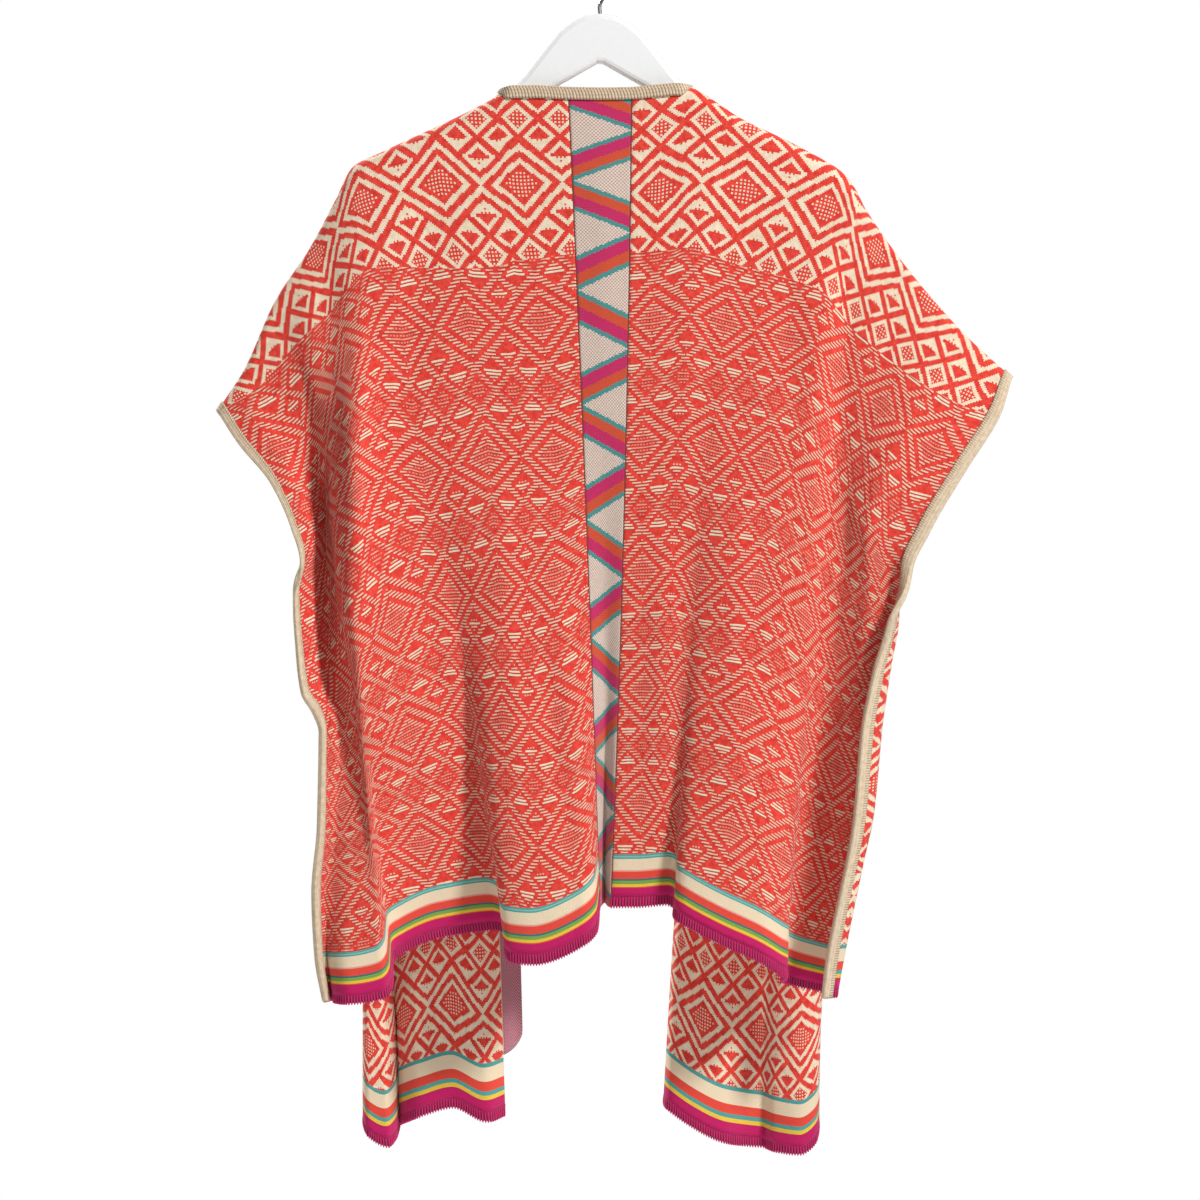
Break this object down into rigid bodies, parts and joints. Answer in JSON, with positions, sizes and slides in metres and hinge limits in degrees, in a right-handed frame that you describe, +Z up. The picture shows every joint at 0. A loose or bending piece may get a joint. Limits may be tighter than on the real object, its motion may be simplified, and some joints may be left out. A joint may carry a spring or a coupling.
{
  "type": "knitted poncho sweater on a hanger",
  "caption": "Open-fronted knitted poncho sweater in coral and cream, with cream edges, hung on a white hanger.",
  "frame": {"origin": "the point inside the top of the hook's curve where a rail carries it", "axes": "+Z up, +Y the way the wearer faces, so the back of the garment looks along -Y, and +X to the right as seen from behind"},
  "size_m": [0.7212, 0.1585, 1.0946],
  "materials": {
    "knit": "matte",
    "zigzag_knit": "matte",
    "binding": "matte",
    "hanger_plastic": "satin",
    "hook_wire": "polished"
  },
  "bodies": {
    "root": {"back_left": "knit", "back_right": "knit", "back_strip": "zigzag_knit", "front_left": "knit", "front_right": "knit", "front_band_left": "zigzag_knit", "front_band_right": "zigzag_knit", "neck_binding": "binding", "side_binding_back_left": "binding", "side_binding_back_right": "binding", "side_binding_front_left": "binding", "side_binding_front_right": "binding", "hanger": "hanger_plastic", "hook": "hook_wire"}
  },
  "joints": []
}
